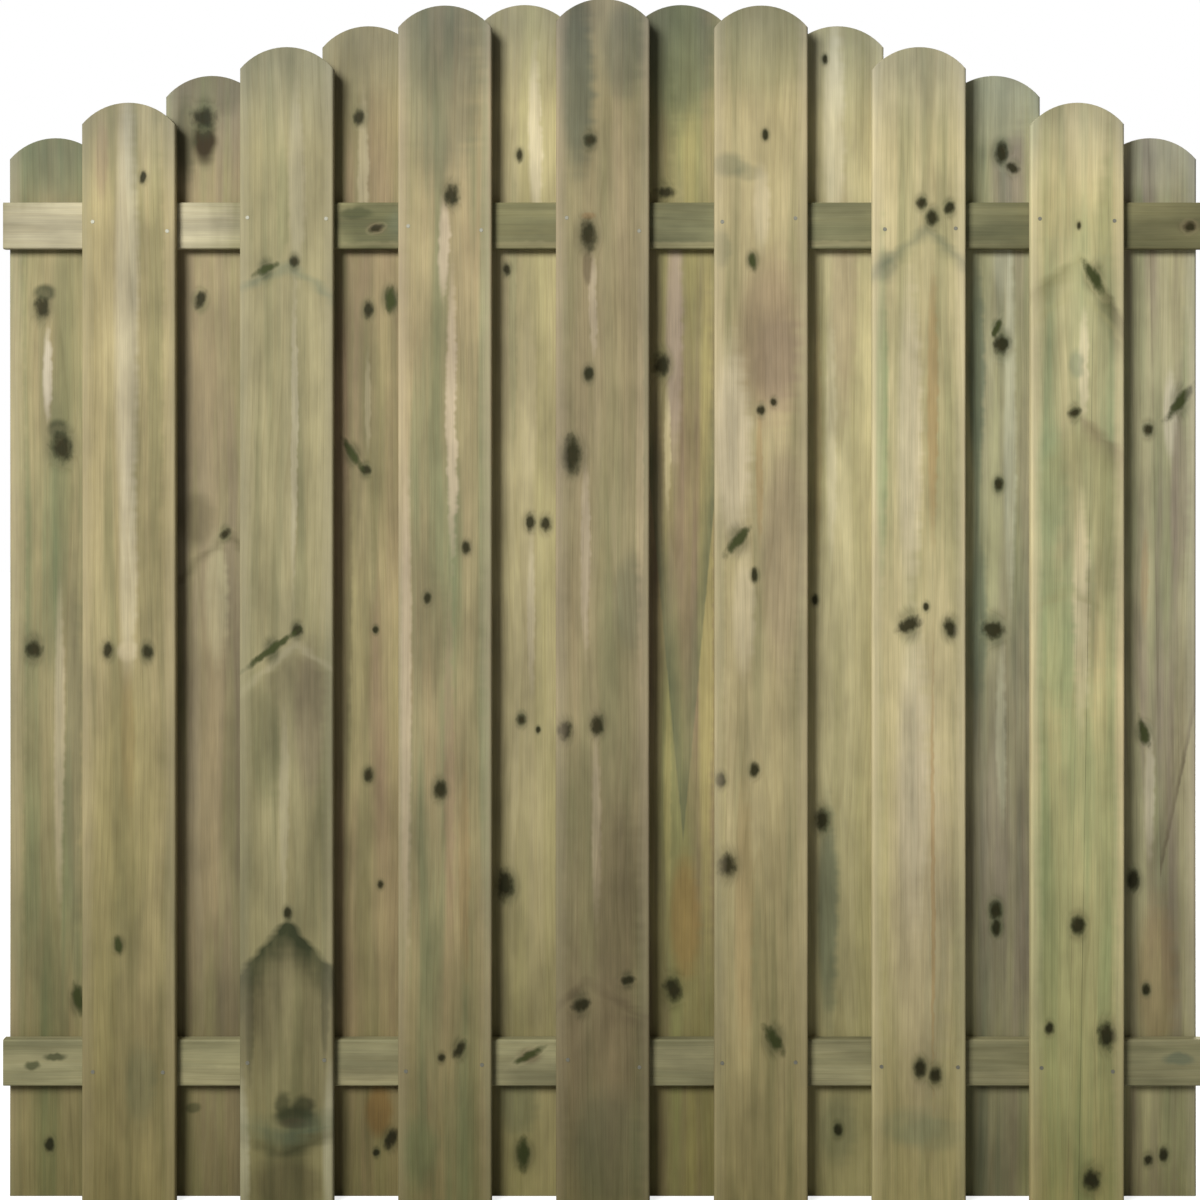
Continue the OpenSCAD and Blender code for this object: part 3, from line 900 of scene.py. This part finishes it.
def make_board(node, index):
    """One board, in the place of its CAD node."""
    low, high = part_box(node)
    foot = ((low.x + high.x) / 2, (low.y + high.y) / 2, low.z)
    seed = 3.7 * index + (20.0 if node.startswith("back") else 0.0)
    board = grow(node.replace("board", "plank"), PLANK, {
        "Width": high.x - low.x,
        "Thickness": high.y - low.y,
        "Length": high.z - low.z,
        "Top Rise": TOP_RISE,
        "Foot": foot,
        "Spring": SPRINGS[index % len(SPRINGS)] * MM,
        "Material": treated_pine(node, foot, LOOKS[node], seed, high.z - low.z),
    }, bevel=EDGE_RADIUS)
    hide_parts(node)
    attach(board, "root")
    return board


def make_nails(name, boards, outward, seed, material):
    """The nail heads of one row of boards, on the boards' outer faces."""
    first, second = (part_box(board) for board in boards[:2])
    rails = [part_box(rail) for rail in RAILS]
    rail_heights = [(low.z + high.z) / 2 for low, high in rails]
    face = first[0].y if outward < 0 else first[1].y
    middle = (first[0].x + first[1].x) / 2
    nails = grow(name, NAILS, {
        "Boards": len(boards),
        "Pitch": second[0].x - first[0].x,
        "First": (middle, face, rail_heights[0]),
        "Rail Step": rail_heights[1] - rail_heights[0],
        "Pair Spread": NAIL_SPREAD,
        "Outward": outward,
        "Scatter": NAIL_SCATTER,
        "Head": NAIL_HEAD,
        "Proud": NAIL_PROUD,
        "Seed": seed,
        "Material": material,
    })
    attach(nails, "root")
    return nails


for number, node in enumerate(FRONT_BOARDS):
    make_board(node, number)
for number, node in enumerate(BACK_BOARDS):
    make_board(node, number)
for number, node in enumerate(RAILS):
    low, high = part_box(node)
    corner = (low.x, (low.y + high.y) / 2, (low.z + high.z) / 2)
    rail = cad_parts[node]
    wood = treated_pine(node, corner, LOOKS[node], 41.0 + 5.3 * number)
    rail.data.materials.clear()
    rail.data.materials.append(wood)

steel = galvanised_steel()
make_nails("front_nails", FRONT_BOARDS, -1.0, 4, steel)
make_nails("back_nails", BACK_BOARDS, 1.0, 9, steel)


# Camera: level, square on to the panel, and a little above its middle
FRAME_WIDTH = 1.790
DISTANCE = 2.9
FRAME_MIDDLE_UP = 0.903
FRAME_MIDDLE_LEFT = 0.0045
SHIFT = -0.15
SENSOR = 36.0

panel_low, panel_high = cad_box
middle_x = (panel_low.x + panel_high.x) / 2 - FRAME_MIDDLE_LEFT
camera_data = bpy.data.cameras.new("camera")
camera_data.sensor_width = SENSOR
camera_data.lens = SENSOR * DISTANCE / FRAME_WIDTH
camera_data.shift_y = SHIFT
camera = bpy.data.objects.new("camera", camera_data)
camera.location = (middle_x, panel_low.y - DISTANCE,
                   panel_low.z + FRAME_MIDDLE_UP - SHIFT * FRAME_WIDTH)
camera.rotation_euler = (math.pi / 2, 0, 0)
bpy.context.scene.collection.objects.link(camera)
bpy.context.scene.camera = camera


# Floor: its shadow is kept near the panel and fades to white farther out, in metres
FLOOR_HALF = 12.0
SHADOW_KEPT, WHITE_BEYOND = 1.0, 1.8

# Lamps: one in front on the left and one behind on the right, so that both sides are lit alike
LAMP_ASIDE = 2.2
LAMP_AWAY = 3.6
LAMP_ABOVE = 1.4
LAMP_POWER = 290.0
LAMP_SIZE = 1.8
FILL_LIGHT = 0.07


def stage_material(centre):
    """Matt pale floor that keeps the shadow under the panel and is white farther out."""
    material = bpy.data.materials.new("matt pale floor")
    material.use_nodes = True
    tree = material.node_tree
    tree.nodes.clear()
    matt = add(tree, "ShaderNodeBsdfDiffuse", {"Color": linear(FLOOR_GREY)})
    place = add(tree, "ShaderNodeTexCoord").outputs["Object"]
    out = add(tree, VECTOR_MATH, [place, centre], operation="DISTANCE")
    glow = add(tree, MAP_RANGE, [out.outputs["Value"], SHADOW_KEPT, WHITE_BEYOND, 0.8, 1.0])
    glow = add(tree, "ShaderNodeEmission", {"Color": (1, 1, 1, 1), "Strength": glow})
    bright = add(tree, "ShaderNodeAddShader", [matt, glow])
    rays = add(tree, "ShaderNodeLightPath")
    surface = add(tree, "ShaderNodeMixShader", [rays.outputs["Is Camera Ray"], matt, bright])
    add(tree, "ShaderNodeOutputMaterial", {"Surface": surface})
    return material


def make_floor():
    """A plain floor under the boards' feet."""
    z = panel_low.z
    mesh = bpy.data.meshes.new("floor")
    corners = [(x * FLOOR_HALF, y * FLOOR_HALF, z) for x, y in ((-1, -1), (1, -1), (1, 1), (-1, 1))]
    mesh.from_pydata(corners, [], [(0, 1, 2, 3)])
    mesh.materials.append(stage_material((centre[0], 0.0, z)))
    floor = bpy.data.objects.new("floor", mesh)
    bpy.context.scene.collection.objects.link(floor)


def make_light(name, side):
    """A square lamp aimed at the panel's middle, in front for side -1 and behind for side 1."""
    data = bpy.data.lights.new(name, "AREA")
    data.energy = LAMP_POWER
    data.shape = "RECTANGLE"
    data.size = LAMP_SIZE
    data.size_y = LAMP_SIZE
    lamp = bpy.data.objects.new(name, data)
    lamp.location = (centre[0] + side * LAMP_ASIDE, side * LAMP_AWAY, panel_high.z + LAMP_ABOVE)
    direction = [t - p for t, p in zip(centre, lamp.location)]
    lamp.rotation_euler = Vector(direction).to_track_quat("-Z", "Y").to_euler()
    bpy.context.scene.collection.objects.link(lamp)


centre = ((panel_low.x + panel_high.x) / 2, 0.0, (panel_low.z + panel_high.z) / 2)
make_floor()
make_light("key", -1)
make_light("back key", 1)

world = bpy.data.worlds.new("studio")
bpy.context.scene.world = world
world.use_nodes = True
world.node_tree.nodes.clear()
rays = add(world.node_tree, "ShaderNodeLightPath")
seen = add(world.node_tree, MATH, [rays.outputs["Is Camera Ray"], rays.outputs["Is Glossy Ray"]],
           operation="MAXIMUM")
seen = add(world.node_tree, MATH, [seen, rays.outputs["Is Transmission Ray"]],
           operation="MAXIMUM")
level = add(world.node_tree, MAP_RANGE, [seen, 0.0, 1.0, FILL_LIGHT, 1.0])
sky = add(world.node_tree, "ShaderNodeBackground", {"Color": (1, 1, 1, 1), "Strength": level})
add(world.node_tree, "ShaderNodeOutputWorld", {"Surface": sky})

bpy.context.scene.view_settings.view_transform = "Standard"
